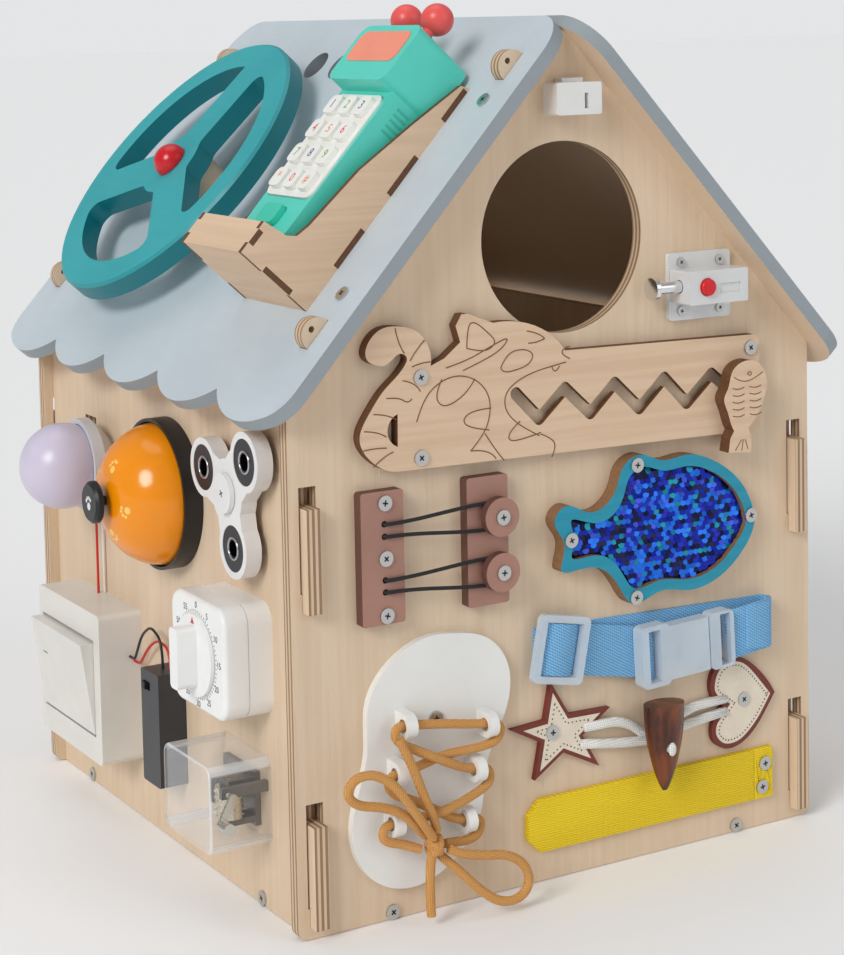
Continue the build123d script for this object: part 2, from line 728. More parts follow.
# A bend's radius is this share of what its shorter run allows
bend_share = 0.45
cord_end = toggle_lift + toggle_half_depth * toggle_section_shares[2][1] - cord_radius / 4
with BuildPart() as toggle_cords:
    for start, middle in star_strands + heart_strands:
        start_point = front_face.from_local_coords(Vector(*start, cord_lift))
        middle_point = front_face.from_local_coords(Vector(*middle, cord_lift))
        eye_point = front_face.from_local_coords(Vector(*toggle_eye, cord_lift))
        first_run = middle_point - start_point
        turn = radians(first_run.get_angle(eye_point - middle_point))
        bend_radius = bend_share * min(first_run.length, (eye_point - middle_point).length) / tan(turn / 2)
        with BuildLine() as strand:
            FilletPolyline(start_point, middle_point, eye_point, radius=bend_radius)
        with BuildSketch(Plane(origin=start_point, z_dir=first_run)):
            Circle(cord_radius)
        sweep(path=strand.wires()[0])
    with BuildSketch(front_face.offset(cord_lift - cord_radius)):
        with Locations(toggle_eye):
            Circle(cord_radius)
    extrude(amount=cord_end - cord_lift + cord_radius)
    add(leather_patches.part, mode=Mode.SUBTRACT)
finish(toggle_cords, "toggle_cords")

# Hook-and-loop strap: the lower layer and the screwed end stay, the upper layer peels off
yellow_left = -27.0
yellow_right = 123.0
yellow_bottom = 15.5
yellow_height = 26.0
yellow_layer = 1.5
yellow_gap = 0.3
yellow_chamfer = 7.0
yellow_hinge_x = 111.3
yellow_middle = yellow_bottom + yellow_height / 2
with BuildPart() as yellow_strap_base:
    with BuildSketch(front_face):
        with Locations(((yellow_left + yellow_right) / 2, yellow_middle)):
            Rectangle(yellow_right - yellow_left, yellow_height)
        chamfer(vertices().group_by(Axis.X)[0], yellow_chamfer)
    extrude(amount=yellow_layer)
    with BuildSketch(front_face):
        with Locations(((yellow_hinge_x + yellow_right) / 2, yellow_middle)):
            Rectangle(yellow_right - yellow_hinge_x, yellow_height)
    extrude(amount=strap_pair_height)
    screw_holes(strap_screws, front_face, strap_pair_height)
finish(yellow_strap_base, "yellow_strap_base")

with BuildPart() as yellow_strap_flap:
    with BuildSketch(front_face.offset(yellow_layer + yellow_gap)):
        flap_right = yellow_hinge_x - yellow_gap
        with Locations(((yellow_left + flap_right) / 2, yellow_middle)):
            Rectangle(flap_right - yellow_left, yellow_height)
        chamfer(vertices().group_by(Axis.X)[0], yellow_chamfer)
    extrude(amount=strap_pair_height - yellow_layer - yellow_gap)
finish(yellow_strap_flap, "yellow_strap_flap")

# Lacing sole with six upright eyelets
sole_corner = (-124.2, 14.7)
sole_size = (88.6, 116.8)
sole_shares = [(0.603, 1.0), (0.3, 0.945), (0.12, 0.773), (0.105, 0.571), (0.04, 0.4), (0.01, 0.24),
               (0.12, 0.07), (0.349, 0.0), (0.634, 0.08), (0.79, 0.241), (0.833, 0.436), (0.96, 0.645),
               (0.975, 0.833), (0.85, 0.953)]
eyelets = [(-97.3, 94.4), (-102.1, 72.4), (-104.5, 49.8), (-53.2, 87.1), (-60.1, 67.0), (-66.0, 43.8)]
eyelet_radius = 6.0
eyelet_thick = 5.0
eyelet_rise = 7.0
eyelet_bore = 3.2
with BuildPart() as sole_plate:
    with BuildSketch(front_face):
        with BuildLine():
            Spline(*scaled(sole_shares, sole_corner, *sole_size), periodic=True)
        make_face()
    extrude(amount=sole_ply)
    screw_holes(sole_screw, front_face, sole_ply)
    for x, z in eyelets:
        foot = front_face.from_local_coords(Vector(x - eyelet_thick / 2, z, sole_ply))
        with BuildSketch(Plane(origin=foot, x_dir=front_face.z_dir, z_dir=front_face.x_dir)):
            with Locations((eyelet_rise / 2, 0)):
                Rectangle(eyelet_rise, 2 * eyelet_radius)
            with Locations((eyelet_rise, 0)):
                Circle(eyelet_radius)
                Circle(eyelet_bore, mode=Mode.SUBTRACT)
        extrude(amount=eyelet_thick)
finish(sole_plate, "sole_plate")

# Push-button bolt beside the window, and its catch block under the ridge
latch_plate = (37.9, 33.5)
latch_plate_corner = 2.0
latch_body = (36.0, 16.5)
latch_body_place = (79.5, 283.8)
latch_body_height = 18.0
button_place = (72.4, 283.9)
button_cap_radius = 4.2
button_cap_rise = 2.2
button_well_depth = 4.8
button_travel = 2.2
bolt_radius = 3.0
bolt_height = 9.6
bolt_z = 284.2
bolt_left = 44.5
bolt_right = 84.0
bolt_travel = 9.0
bolt_disc_radius = 5.5
bolt_disc_thick = 2.4
latch_mark = (13.0, 4.9)
latch_mark_place = (86.5, 282.8)
latch_mark_depth = 0.8
latch_body_left = latch_body_place[0] - latch_body[0] / 2
latch_side = Plane(
    origin=front_face.from_local_coords(Vector(0, bolt_z, bolt_height)),
    x_dir=front_face.y_dir,
    z_dir=front_face.x_dir,
)
with BuildPart() as latch_housing:
    with BuildSketch(front_face):
        with Locations(latch_centre):
            RectangleRounded(*latch_plate, latch_plate_corner)
    extrude(amount=latch_plate_thick)
    screw_holes(latch_screws, front_face, latch_plate_thick)
    with BuildSketch(front_face.offset(latch_plate_thick)):
        with Locations(latch_body_place):
            RectangleRounded(*latch_body, latch_plate_corner / 2)
    extrude(amount=latch_body_height - latch_plate_thick)
    with BuildSketch(front_face.offset(latch_body_height)):
        with Locations(latch_mark_place):
            Rectangle(*latch_mark)
    extrude(amount=-latch_mark_depth, mode=Mode.SUBTRACT)
    with Locations(at(front_face, *button_place, latch_body_height)):
        Hole(button_cap_radius + running_gap, depth=button_well_depth)
    with BuildSketch(latch_side.offset(latch_body_left)):
        Circle(bolt_radius + running_gap)
    extrude(amount=bolt_right + bolt_travel + running_gap - latch_body_left, mode=Mode.SUBTRACT)
finish(latch_housing, "latch_housing")

with BuildPart() as latch_button:
    with BuildSketch(front_face.offset(latch_body_height + button_cap_rise)):
        with Locations(button_place):
            Circle(button_cap_radius)
    extrude(amount=button_travel + running_gap - button_well_depth - button_cap_rise)
    fillet(latch_button.edges().group_by(Axis.Y)[0], button_cap_rise / 2)
finish(latch_button, "latch_button")

with BuildPart() as latch_plunger:
    with BuildSketch(latch_side.offset(bolt_left)):
        Circle(bolt_radius)
    extrude(amount=bolt_right - bolt_left)
    with BuildSketch(latch_side.offset(bolt_left)):
        Circle(bolt_disc_radius)
    extrude(amount=bolt_disc_thick)
finish(latch_plunger, "latch_plunger")

catch_place = (2.65, 378.2)
catch_size = (25.3, 15.3)
catch_height = 12.0
catch_slot = (2.2, 7.3)
catch_slot_place = (6.6, 377.1)
catch_slot_depth = 5.0
keeper_size = (12.0, 2.0)
keeper_height = 6.0
with BuildPart() as catch_block:
    with BuildSketch(front_face):
        with Locations(catch_place):
            RectangleRounded(*catch_size, latch_plate_corner / 2)
        with Locations((catch_place[0], catch_place[1] + (catch_size[1] + keeper_size[1]) / 2)):
            Rectangle(*keeper_size)
    extrude(amount=keeper_height)
    with BuildSketch(front_face.offset(keeper_height)):
        with Locations(catch_place):
            RectangleRounded(*catch_size, latch_plate_corner / 2)
    extrude(amount=catch_height - keeper_height)
    with BuildSketch(front_face.offset(catch_height)):
        with Locations(catch_slot_place):
            Rectangle(*catch_slot)
    extrude(amount=-catch_slot_depth, mode=Mode.SUBTRACT)
finish(catch_block, "catch_block")

# Lamp: a holder that flares to a ring, a globe seated in it
lamp_place = (-72.0, 185.0)
lamp_foot_radius = 14.0
lamp_ring_radius = 24.0
lamp_neck_height = 10.0
lamp_holder_height = 16.0
lamp_seat_height = 12.0
lamp_ring_wall = 2.8
globe_radius = 22.7
globe_height = 25.0


def wall_turned(place, profile_plane_height=0.0):
    "A plane through a wall item's axis: x outwards from the axis, y away from the wall."
    origin = left_face.from_local_coords(Vector(*place, profile_plane_height))
    return Plane(origin=origin, x_dir=left_face.x_dir, z_dir=-left_face.y_dir)


def wall_axis(place):
    "The axis of a turned item that stands on the left wall."
    return Axis(left_face.from_local_coords(Vector(*place, 0)), left_face.z_dir)


with BuildPart() as lamp_holder:
    with BuildSketch(wall_turned(lamp_place)):
        with BuildLine():
            Polyline(
                (0, 0),
                (lamp_foot_radius, 0),
                (lamp_ring_radius, lamp_neck_height),
                (lamp_ring_radius, lamp_holder_height),
                (lamp_ring_radius - lamp_ring_wall, lamp_holder_height),
                (lamp_ring_radius - lamp_ring_wall, lamp_seat_height),
                (0, lamp_seat_height),
                close=True,
            )
        make_face()
    revolve(axis=wall_axis(lamp_place))
finish(lamp_holder, "lamp_holder")

globe_cut = globe_height - lamp_seat_height
globe_seat_radius = (globe_radius**2 - globe_cut**2) ** 0.5
with BuildPart() as lamp_globe:
    with BuildSketch(wall_turned(lamp_place)):
        with BuildLine():
            ThreePointArc(
                (globe_seat_radius, lamp_seat_height),
                (globe_radius, globe_height),
                (0, globe_height + globe_radius),
            )
            Polyline(
                (0, globe_height + globe_radius),
                (0, lamp_seat_height),
                (globe_seat_radius, lamp_seat_height),
            )
        make_face()
    revolve(axis=wall_axis(lamp_place))
finish(lamp_globe, "lamp_globe")

# Bell: a dish with a hollow post, a dome on the post, a plunger that slides in the post
bell_place = (12.0, 182.5)
bell_base_radius = 38.0
bell_rim_height = 10.0
bell_floor_height = 6.0
bell_rim_wall = 1.6
bell_post_radius = 5.0
bell_bore_radius = 2.6
dome_radius = 35.6
dome_bottom = 8.0
dome_top = 36.0
dome_wall = 1.4
dome_shoulder = (27.5, 26.5)
plunger_stem_radius = 2.3
plunger_knob_radius = 10.5
plunger_knob_bottom = 40.5
plunger_knob_top = 44.5
plunger_knob_edge = 1.5
plunger_stem_bottom = 13.0
plunger_travel = 3.0
with BuildPart() as bell_base:
    with BuildSketch(wall_turned(bell_place)):
        with BuildLine():
            Polyline(
                (bell_bore_radius, plunger_stem_bottom - plunger_travel - running_gap),
                (0, plunger_stem_bottom - plunger_travel - running_gap),
                (0, 0),
                (bell_base_radius, 0),
                (bell_base_radius, bell_rim_height),
                (bell_base_radius - bell_rim_wall, bell_rim_height),
                (bell_base_radius - bell_rim_wall, bell_floor_height),
                (bell_post_radius, bell_floor_height),
                (bell_post_radius, dome_top - dome_wall),
                (bell_bore_radius, dome_top - dome_wall),
                close=True,
            )
        make_face()
    revolve(axis=wall_axis(bell_place))
finish(bell_base, "bell_base")

with BuildPart() as bell_dome:
    with BuildSketch(wall_turned(bell_place)):
        with BuildLine():
            inner_shoulder = (dome_shoulder[0] - dome_wall, dome_shoulder[1] - dome_wall)
            ThreePointArc((dome_radius, dome_bottom), dome_shoulder, (bell_post_radius, dome_top))
            Polyline(
                (bell_post_radius, dome_top),
                (bell_bore_radius, dome_top),
                (bell_bore_radius, dome_top - dome_wall),
                (bell_post_radius, dome_top - dome_wall),
            )
            ThreePointArc(
                (bell_post_radius, dome_top - dome_wall),
                inner_shoulder,
                (dome_radius - dome_wall, dome_bottom),
            )
            Line((dome_radius - dome_wall, dome_bottom), (dome_radius, dome_bottom))
        make_face()
    revolve(axis=wall_axis(bell_place))
finish(bell_dome, "bell_dome")

with BuildPart() as bell_plunger:
    with BuildSketch(wall_turned(bell_place)):
        with BuildLine():
            Polyline(
                (0, plunger_stem_bottom),
                (plunger_stem_radius, plunger_stem_bottom),
                (plunger_stem_radius, plunger_knob_bottom),
                (plunger_knob_radius, plunger_knob_bottom),
                (plunger_knob_radius, plunger_knob_top - plunger_knob_edge),
                (plunger_knob_radius - plunger_knob_edge, plunger_knob_top),
                (0, plunger_knob_top),
                close=True,
            )
        make_face()
    revolve(axis=wall_axis(bell_place))
finish(bell_plunger, "bell_plunger")

# Finger spinner: three weighted lobes turn about a stud between two caps
spinner_first_lobe = 42.0
spinner_neck_radius = 12.0
spinner_cap_gap = 0.3
spinner_washer_radius = 5.0
with BuildPart() as spinner_body:
    with BuildSketch(at(left_face, *spinner_place, spinner_standoff)):
        Circle(spinner_neck_radius + bearing_bore)
        with PolarLocations(spinner_arm / 2, 3, start_angle=spinner_first_lobe):
            Rectangle(spinner_arm, 2 * spinner_neck_radius)
        with PolarLocations(spinner_arm, 3, start_angle=spinner_first_lobe):
            Circle(spinner_lobe_radius)
        with PolarLocations(spinner_arm, 3, start_angle=spinner_first_lobe):
            Circle(bearing_radius, mode=Mode.SUBTRACT)
        Circle(spinner_stud_radius + pivot_gap, mode=Mode.SUBTRACT)
    extrude(amount=spinner_thick)
finish(spinner_body, "spinner_body")

with BuildPart() as spinner_bearings:
    with BuildSketch(at(left_face, *spinner_place, spinner_standoff)):
        with PolarLocations(spinner_arm, 3, start_angle=spinner_first_lobe):
            Circle(bearing_radius)
            Circle(bearing_bore, mode=Mode.SUBTRACT)
    extrude(amount=spinner_thick - spinner_cap_gap)
finish(spinner_bearings, "spinner_bearings")

with BuildPart() as spinner_axle:
    with BuildSketch(at(left_face, *spinner_place, -ply)):
        Circle(spinner_stud_radius)
    extrude(amount=ply + spinner_standoff + spinner_thick + spinner_cap_gap)
    with BuildSketch(at(left_face, *spinner_place)):
        Circle(spinner_washer_radius)
    extrude(amount=spinner_standoff - spinner_cap_gap)
    with BuildSketch(at(left_face, *spinner_place, spinner_standoff + spinner_thick + spinner_cap_gap)):
        Circle(cap_radius)
    extrude(amount=cap_thick)
finish(spinner_axle, "spinner_axle")

# Rocker switch: a surface box, a wedge-shaped rocker on two pins
switch_centre = (-73.75, 72.25)
switch_size = (84.5, 79.5)
switch_depth = 24.0
switch_corner = 3.0
rocker_centre = (-75.5, 71.75)
rocker_size = (71.0, 48.5)
rocker_gap = 1.5
rocker_side_gap = 0.4
rocker_well_depth = 15.0
rocker_proud = 7.0
rocker_pivot_height = 21.0
rocker_back = 9.0
rocker_back_share = 0.85
rocker_pin_radius = 2.0
rocker_pin_length = 3.0
with BuildPart() as switch_box:
    with BuildSketch(left_face):
        with Locations(switch_centre):
            Rectangle(*switch_size)
    extrude(amount=switch_depth)
    fillet(switch_box.edges().filter_by(Axis.X), switch_corner)
    with Locations(at(left_face, *rocker_centre, switch_depth - rocker_well_depth / 2)):
        Box(
            rocker_size[0] + 2 * rocker_side_gap,
            rocker_size[1] + 2 * rocker_gap,
            rocker_well_depth + face_gap,
            mode=Mode.SUBTRACT,
        )
    pin_plane = at(left_face, *rocker_centre, rocker_pivot_height)
    with BuildSketch(Plane(origin=pin_plane.origin, x_dir=left_face.y_dir, z_dir=left_face.x_dir)):
        Circle(rocker_pin_radius + pivot_gap)
    extrude(
        amount=rocker_size[0] / 2 + rocker_pin_length + running_gap,
        both=True,
        mode=Mode.SUBTRACT,
    )
finish(switch_box, "switch_box")

rocker_half = rocker_size[1] / 2
rocker_profile = [
    (-rocker_half, switch_depth - rocker_pivot_height + running_gap),
    (rocker_half, switch_depth - rocker_pivot_height + rocker_proud),
    (rocker_half, -rocker_pin_radius),
    (rocker_half * rocker_back_share, -rocker_back + rocker_pin_radius),
    (-rocker_half * rocker_back_share, -rocker_back + rocker_pin_radius),
]
with BuildPart() as switch_rocker:
    rocker_plane = Plane(origin=pin_plane.origin, x_dir=left_face.y_dir, z_dir=left_face.x_dir)
    with BuildSketch(rocker_plane):
        with BuildLine():
            Polyline(*[(x, y) for x, y in rocker_profile], close=True)
        make_face()
    extrude(amount=rocker_size[0] / 2, both=True)
    with BuildSketch(rocker_plane):
        Circle(rocker_pin_radius)
    extrude(amount=rocker_size[0] / 2 + rocker_pin_length, both=True)
finish(switch_rocker, "switch_rocker")

# Battery box with a slide switch near its top
battery_centre = (11.75, 63.5)
battery_size = (21.5, 58.0)
battery_depth = 15.0
battery_corner = 1.5
battery_switch_place = (8.0, 84.5)
battery_switch_well = (8.0, 4.4, 4.0)
battery_knob = (3.6, 3.6)
battery_knob_proud = 1.2
battery_switch_travel = 3.6
with BuildPart() as battery_box:
    with BuildSketch(left_face):
        with Locations(battery_centre):
            RectangleRounded(*battery_size, battery_corner)
    extrude(amount=battery_depth)
    with Locations(at(left_face, *battery_switch_place, battery_depth - battery_switch_well[2] / 2)):
        Box(*battery_switch_well, mode=Mode.SUBTRACT)
finish(battery_box, "battery_box")

with BuildPart() as battery_switch:
    knob_left = battery_switch_place[0] - battery_switch_travel / 2
    knob_floor = battery_depth - battery_switch_well[2] + running_gap
    with BuildSketch(at(left_face, knob_left, battery_switch_place[1], knob_floor)):
        Rectangle(*battery_knob)
    extrude(amount=battery_depth + battery_knob_proud - knob_floor)
finish(battery_switch, "battery_switch")

# Kitchen timer: case in two shells with a seam, a dial with a bar grip
timer_centre = (92.5, 122.25)
timer_size = (58.0, 53.5)
timer_depth = 25.0
timer_corner = 9.0
timer_edge = 2.5
timer_seam_height = 12.0
timer_seam = 0.6
dial_radius = 19.5
dial_thick = 1.8
dial_boss_radius = 6.0
dial_boss_depth = 6.0
grip_size = (9.0, 29.0)
grip_height = 10.0
with BuildPart() as timer_case:
    with BuildSketch(left_face):
        with Locations(timer_centre):
            RectangleRounded(*timer_size, timer_corner)
    extrude(amount=timer_depth)
    fillet(timer_case.faces().sort_by(Axis.X)[0].edges(), timer_edge)
    with BuildSketch(left_face.offset(timer_seam_height)):
        with Locations(timer_centre):
            RectangleRounded(*timer_size, timer_corner)
            RectangleRounded(
                timer_size[0] - 2 * timer_seam,
                timer_size[1] - 2 * timer_seam,
                timer_corner - timer_seam,
                mode=Mode.SUBTRACT,
            )
    extrude(amount=timer_seam, mode=Mode.SUBTRACT)
    with Locations(at(left_face, *timer_centre, timer_depth)):
        Hole(dial_boss_radius + pivot_gap, depth=dial_boss_depth + running_gap)
finish(timer_case, "timer_case")

with BuildPart() as timer_dial:
    with BuildSketch(at(left_face, *timer_centre, timer_depth + running_gap)):
        Circle(dial_radius)
    extrude(amount=dial_thick)
    with BuildSketch(at(left_face, *timer_centre, timer_depth + running_gap)):
        Circle(dial_boss_radius)
    extrude(amount=-dial_boss_depth)
    with BuildSketch(at(left_face, *timer_centre, timer_depth + running_gap + dial_thick)):
        RectangleRounded(*grip_size, timer_edge)
    extrude(amount=grip_height)
finish(timer_dial, "timer_dial")

# Music box: clear cover, movement frame with a comb, pinned drum, crank through the cover's front side
music_centre = (91.0, 54.0)
music_size = (52.0, 42.0)
music_depth = 32.0
music_corner = 6.0
music_wall = 1.5
music_floor = 2.5
frame_place = (88.0, 52.0)
frame_size = (34.0, 26.0)
frame_plate = 3.0
frame_bearing = (6.0, 10.0)
drum_place = (100.0, 52.0)
drum_radius = 6.5
drum_length = 15.0
drum_height = 14.0
drum_pin_radius = 1.2
drum_pin_length = 3.0
drum_stud_radius = 0.35
drum_stud_rise = 0.7
drum_rows = 8
drum_columns = 9
drum_column_turn = 0.055
comb_size = (14.0, 13.0, 1.0)
comb_height = 13.0
comb_slot = 0.4
comb_pitch = comb_size[1] / drum_columns
crank_place = (60.5, 21.5)
crank_shaft_radius = 1.3
crank_shaft_start = 109.0
crank_arm_place = 119.0
crank_arm_width = 4.0
crank_arm_thick = 1.6
crank_throw = 13.0
crank_lean = -62.0
crank_grip_radius = 3.0
crank_grip_length = 8.0
crank_side = Plane(
    origin=left_face.from_local_coords(Vector(0, *crank_place)),
    x_dir=left_face.z_dir,
    z_dir=left_face.x_dir,
)
with BuildPart() as music_cover:
    with BuildSketch(left_face):
        with Locations(music_centre):
            RectangleRounded(*music_size, music_corner)
    extrude(amount=music_depth)
    fillet(music_cover.faces().sort_by(Axis.X)[0].edges(), music_wall)
    with BuildSketch(left_face):
        with Locations(music_centre):
            RectangleRounded(
                music_size[0] - 2 * music_wall,
                music_size[1] - 2 * music_wall,
                music_corner - music_wall,
            )
    extrude(amount=music_depth - music_wall, mode=Mode.SUBTRACT)
    with BuildSketch(crank_side.offset(music_centre[0])):
        Circle(crank_shaft_radius + running_gap)
    extrude(amount=music_size[0], mode=Mode.SUBTRACT)
finish(music_cover, "music_cover")

drum_plane = Plane(
    origin=left_face.from_local_coords(Vector(*drum_place, drum_height)),
    x_dir=left_face.x_dir,
    z_dir=(0, 0, 1),
)
with BuildPart() as music_frame:
    with BuildSketch(left_face):
        with Locations(frame_place):
            Rectangle(*frame_size)
    extrude(amount=frame_plate)
    # Two posts carry the drum's pins
    for side in (-1, 1):
        post_z = drum_place[1] + side * (drum_length / 2 + drum_pin_length / 2 + running_gap)
        with BuildSketch(at(left_face, drum_place[0], post_z)):
            Rectangle(frame_bearing[1], drum_pin_length)
        extrude(amount=drum_height + drum_pin_radius + music_wall)
    with BuildSketch(drum_plane):
        Circle(drum_pin_radius + pivot_gap)
    extrude(amount=drum_length, both=True, mode=Mode.SUBTRACT)
    # The comb stands on a step beside the drum
    comb_x = drum_place[0] - drum_radius - drum_stud_rise - running_gap - comb_size[0] / 2
    with BuildSketch(at(left_face, comb_x - comb_size[0] / 4, drum_place[1], frame_plate)):
        Rectangle(comb_size[0] / 2, comb_size[1])
    extrude(amount=comb_height - frame_plate)
    with BuildSketch(at(left_face, comb_x, drum_place[1], comb_height)):
        Rectangle(comb_size[0], comb_size[1])
    extrude(amount=comb_size[2])
    # Slots from the drum's side part the comb into one tooth for each column of studs
    with BuildSketch(at(left_face, comb_x + comb_size[0] / 4, drum_place[1], comb_height)):
        with GridLocations(comb_size[0], comb_pitch, 1, drum_columns - 1):
            Rectangle(comb_size[0] / 2, comb_slot)
    extrude(amount=comb_size[2], mode=Mode.SUBTRACT)
    # The crank's bearing stands beside the drum
    bearing_x = crank_shaft_start + frame_bearing[0] / 2
    with BuildSketch(at(left_face, bearing_x, crank_place[0])):
        Rectangle(frame_bearing[0] / 2, frame_bearing[1] / 2)
    extrude(amount=crank_place[1] + frame_bearing[1] / 4)
    with BuildSketch(crank_side.offset(crank_shaft_start)):
        Circle(crank_shaft_radius + pivot_gap)
    extrude(amount=frame_bearing[0] * 2, mode=Mode.SUBTRACT)
finish(music_frame, "music_frame")

with BuildPart() as music_drum:
    with BuildSketch(drum_plane):
        Circle(drum_radius)
    extrude(amount=drum_length / 2, both=True)
    with BuildSketch(drum_plane):
        Circle(drum_pin_radius)
    extrude(amount=drum_length / 2 + drum_pin_length, both=True)
    # Studs stand on the drum in columns, and each column is turned on from the last
    studs = []
    for column in range(drum_columns):
        for row in range(drum_rows):
            turn = 2 * pi * (row / drum_rows + column * drum_column_turn)
            outward = Vector(cos(turn), sin(turn))
            height = (column - (drum_columns - 1) / 2) * comb_pitch
            foot = outward * drum_radius + Vector(0, 0, height)
            studs.append(
                Plane(
                    origin=drum_plane.from_local_coords(foot),
                    x_dir=drum_plane.z_dir,
                    z_dir=drum_plane.from_local_coords(outward) - drum_plane.origin,
                )
            )
    with Locations(*studs):
        Cylinder(drum_stud_radius, 2 * drum_stud_rise)
finish(music_drum, "music_drum")

with BuildPart() as music_crank:
    with BuildSketch(crank_side.offset(crank_shaft_start)):
        Circle(crank_shaft_radius)
    extrude(amount=crank_arm_place - crank_shaft_start)
    grip_x = crank_throw * sin(radians(crank_lean + 90))
    grip_y = crank_throw * cos(radians(crank_lean + 90))
    with BuildSketch(crank_side.offset(crank_arm_place)):
        with Locations((grip_x / 2, grip_y / 2)):
            SlotCenterToCenter(crank_throw, crank_arm_width, rotation=arc_angle((0, 0), (grip_x, grip_y)))
    extrude(amount=crank_arm_thick)
    with BuildSketch(crank_side.offset(crank_arm_place + crank_arm_thick)):
        with Locations((grip_x, grip_y)):
            Circle(crank_grip_radius)
    extrude(amount=crank_grip_length)
finish(music_crank, "music_crank")

# Leads: lamp to switch box, switch box to battery box
lead_radius = 0.7
lamp_leads = [((-78.0, 165.0), 4.6), ((-76.6, 163.6), 1.6)]
switch_top = switch_centre[1] + switch_size[1] / 2
battery_routes = [
    [(-31.4, 86.0), (-24.0, 86.0), (-13.0, 97.0), (-1.0, 104.0), (11.0, 103.0), (14.5, 97.5),
     (14.5, 92.6)],
    [(-31.4, 88.6), (-25.0, 88.6), (-15.0, 104.0), (-3.0, 111.0), (8.0, 107.0), (10.5, 99.0),
     (10.5, 92.6)],
]
battery_route_heights = [4.6, 7.0]


def tube(places, radius):
    "A round cord along straight runs joined by the largest tangent arcs that the runs allow."
    bends = []
    for before, here, after in zip(places, places[1:], places[2:]):
        turn = radians((here - before).get_angle(after - here))
        shorter = min((here - before).length, (after - here).length)
        bends.append(bend_share * shorter / tan(turn / 2))
    with BuildLine() as route:
        FilletPolyline(*places, radius=bends)
    with BuildSketch(Plane(origin=places[0], z_dir=places[1] - places[0])) as section:
        Circle(radius)
    sweep(section.sketch, path=route.wires()[0])
    print("bend radii", [round(bend, 1) for bend in bends], "length", round(route.wires()[0].length, 1))


with BuildPart() as lead_wires:
    for (u, z), height in lamp_leads:
        bottom = left_face.from_local_coords(Vector(u, switch_top, height))
        with BuildSketch(Plane(origin=bottom, x_dir=left_face.x_dir, z_dir=(0, 0, 1))):
            Circle(lead_radius)
        extrude(amount=z - switch_top)
    for points, height in zip(battery_routes, battery_route_heights):
        tube([left_face.from_local_coords(Vector(u, z, height)) for u, z in points], lead_radius)
finish(lead_wires, "lead_wires")

# Shoelace: laced through the eyelets, tied in a bow; each place is x, z and the height above the panel
lace_radius = 2.2
lace_knot = (-87.5, 38.0, 16.5)
lace_knot_radius = 6.2
laced_route = [
    (-81.0, 36.4, 14.5), (-75.0, 35.4, 13.0), (-66.0, 34.2, 12.0), (-59.5, 36.6, 11.5),
    (-58.5, 43.6, 11.0), (-72.0, 44.6, 11.3), (-84.0, 52.5, 11.6), (-98.0, 60.3, 12.5),
    (-107.5, 64.5, 12.0), (-108.7, 72.2, 11.0), (-95.0, 73.3, 11.0), (-78.0, 77.3, 11.0),
    (-58.0, 77.0, 11.5), (-48.0, 79.0, 11.5), (-46.5, 87.0, 11.0), (-60.0, 88.2, 11.0),
    (-78.0, 91.9, 11.5), (-92.0, 93.8, 11.0), (-103.5, 95.0, 11.0), (-105.0, 89.0, 12.5),
    (-97.0, 84.2, 14.0), (-82.0, 76.5, 16.4), (-68.0, 69.2, 12.5), (-60.0, 67.1, 11.0),
    (-53.3, 65.8, 11.0), (-53.5, 59.5, 11.5), (-60.0, 56.4, 12.0), (-74.0, 53.8, 15.6),
    (-85.0, 52.4, 17.1), (-97.0, 50.5, 12.5), (-104.5, 49.7, 11.0), (-111.0, 49.3, 11.0),
    (-112.0, 42.8, 11.5), (-101.0, 39.6, 12.5), (-94.0, 36.6, 15.2),
]
left_bow_route = [
    (-90.5, 43.0, 20.6), (-96.0, 50.0, 24.2), (-104.0, 61.0, 25.5), (-112.0, 73.0, 24.5),
    (-121.5, 79.6, 22.0), (-131.0, 78.5, 20.5), (-134.6, 71.5, 19.5), (-128.5, 64.8, 18.6),
    (-116.0, 62.2, 19.0), (-105.0, 57.0, 19.9), (-97.5, 48.5, 19.2), (-92.0, 43.0, 15.4),
]
right_bow_route = [
    (-81.6, 35.6, 19.4), (-75.0, 32.0, 21.0), (-63.5, 29.5, 22.0), (-52.0, 28.0, 23.0),
    (-43.0, 22.0, 24.0), (-40.0, 12.5, 24.5), (-46.5, 5.8, 25.0), (-57.0, 6.2, 24.0),
    (-66.0, 13.0, 22.0), (-74.5, 22.5, 19.0), (-80.0, 28.0, 16.4), (-83.9, 32.2, 14.9),
]
upper_tail_route = [
    (-87.0, 44.9, 17.6), (-89.5, 52.0, 21.0), (-95.0, 63.0, 20.8), (-99.5, 77.0, 20.0),
    (-106.5, 92.0, 19.0),
]
lower_tail_route = [(-89.5, 31.3, 16.5), (-90.0, 24.0, 16.6), (-90.6, 15.0, 17.0), (-90.4, 5.0, 17.6)]
lace_routes = [laced_route, left_bow_route, right_bow_route, upper_tail_route, lower_tail_route]
with BuildPart() as shoelace:
    for route in lace_routes:
        tube([front_face.from_local_coords(Vector(*place)) for place in route], lace_radius)
    with Locations(at(front_face, *lace_knot)):
        Sphere(lace_knot_radius)
finish(shoelace, "shoelace")

